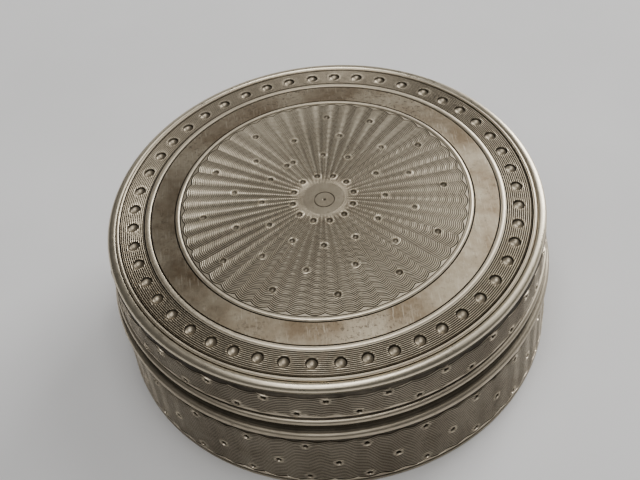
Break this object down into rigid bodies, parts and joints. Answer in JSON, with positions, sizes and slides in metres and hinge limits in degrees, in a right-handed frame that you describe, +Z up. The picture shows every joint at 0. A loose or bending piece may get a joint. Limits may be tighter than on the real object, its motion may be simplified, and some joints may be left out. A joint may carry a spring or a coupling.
{
  "type": "round pill box with lift-off lid",
  "caption": "Low round silver pill box with a domed engine-turned lid that lifts off an inner collar; moulded shoulder and foot rim.",
  "frame": {"origin": "centre of the underside, on the table", "axes": "+Z up along the box's round axis, the way the lid lifts; -Y towards the viewer"},
  "size_m": [0.05, 0.05, 0.0192],
  "materials": {
    "engine_turned_silver": "engine-turned silver, aged, dark patina in the cuts",
    "polished_silver": "worn polished silver mouldings",
    "plain_silver": "plain silver sheet, lightly tarnished"
  },
  "bodies": {
    "base": {"base_foot_rim": "polished_silver", "base_floor_plate": "plain_silver", "base_side_wall": "engine_turned_silver", "base_shoulder_moulding": "polished_silver", "base_collar": "plain_silver"},
    "lid": {"lid_edge_wire": "polished_silver", "lid_side_wall": "engine_turned_silver", "lid_rim": "polished_silver", "lid_top_plate": "engine_turned_silver"}
  },
  "joints": [
    {"name": "lid_lift", "type": "slide", "parent": "base", "child": "lid", "axis": [0, 0, 1], "range_m": [0, 0.03]}
  ]
}
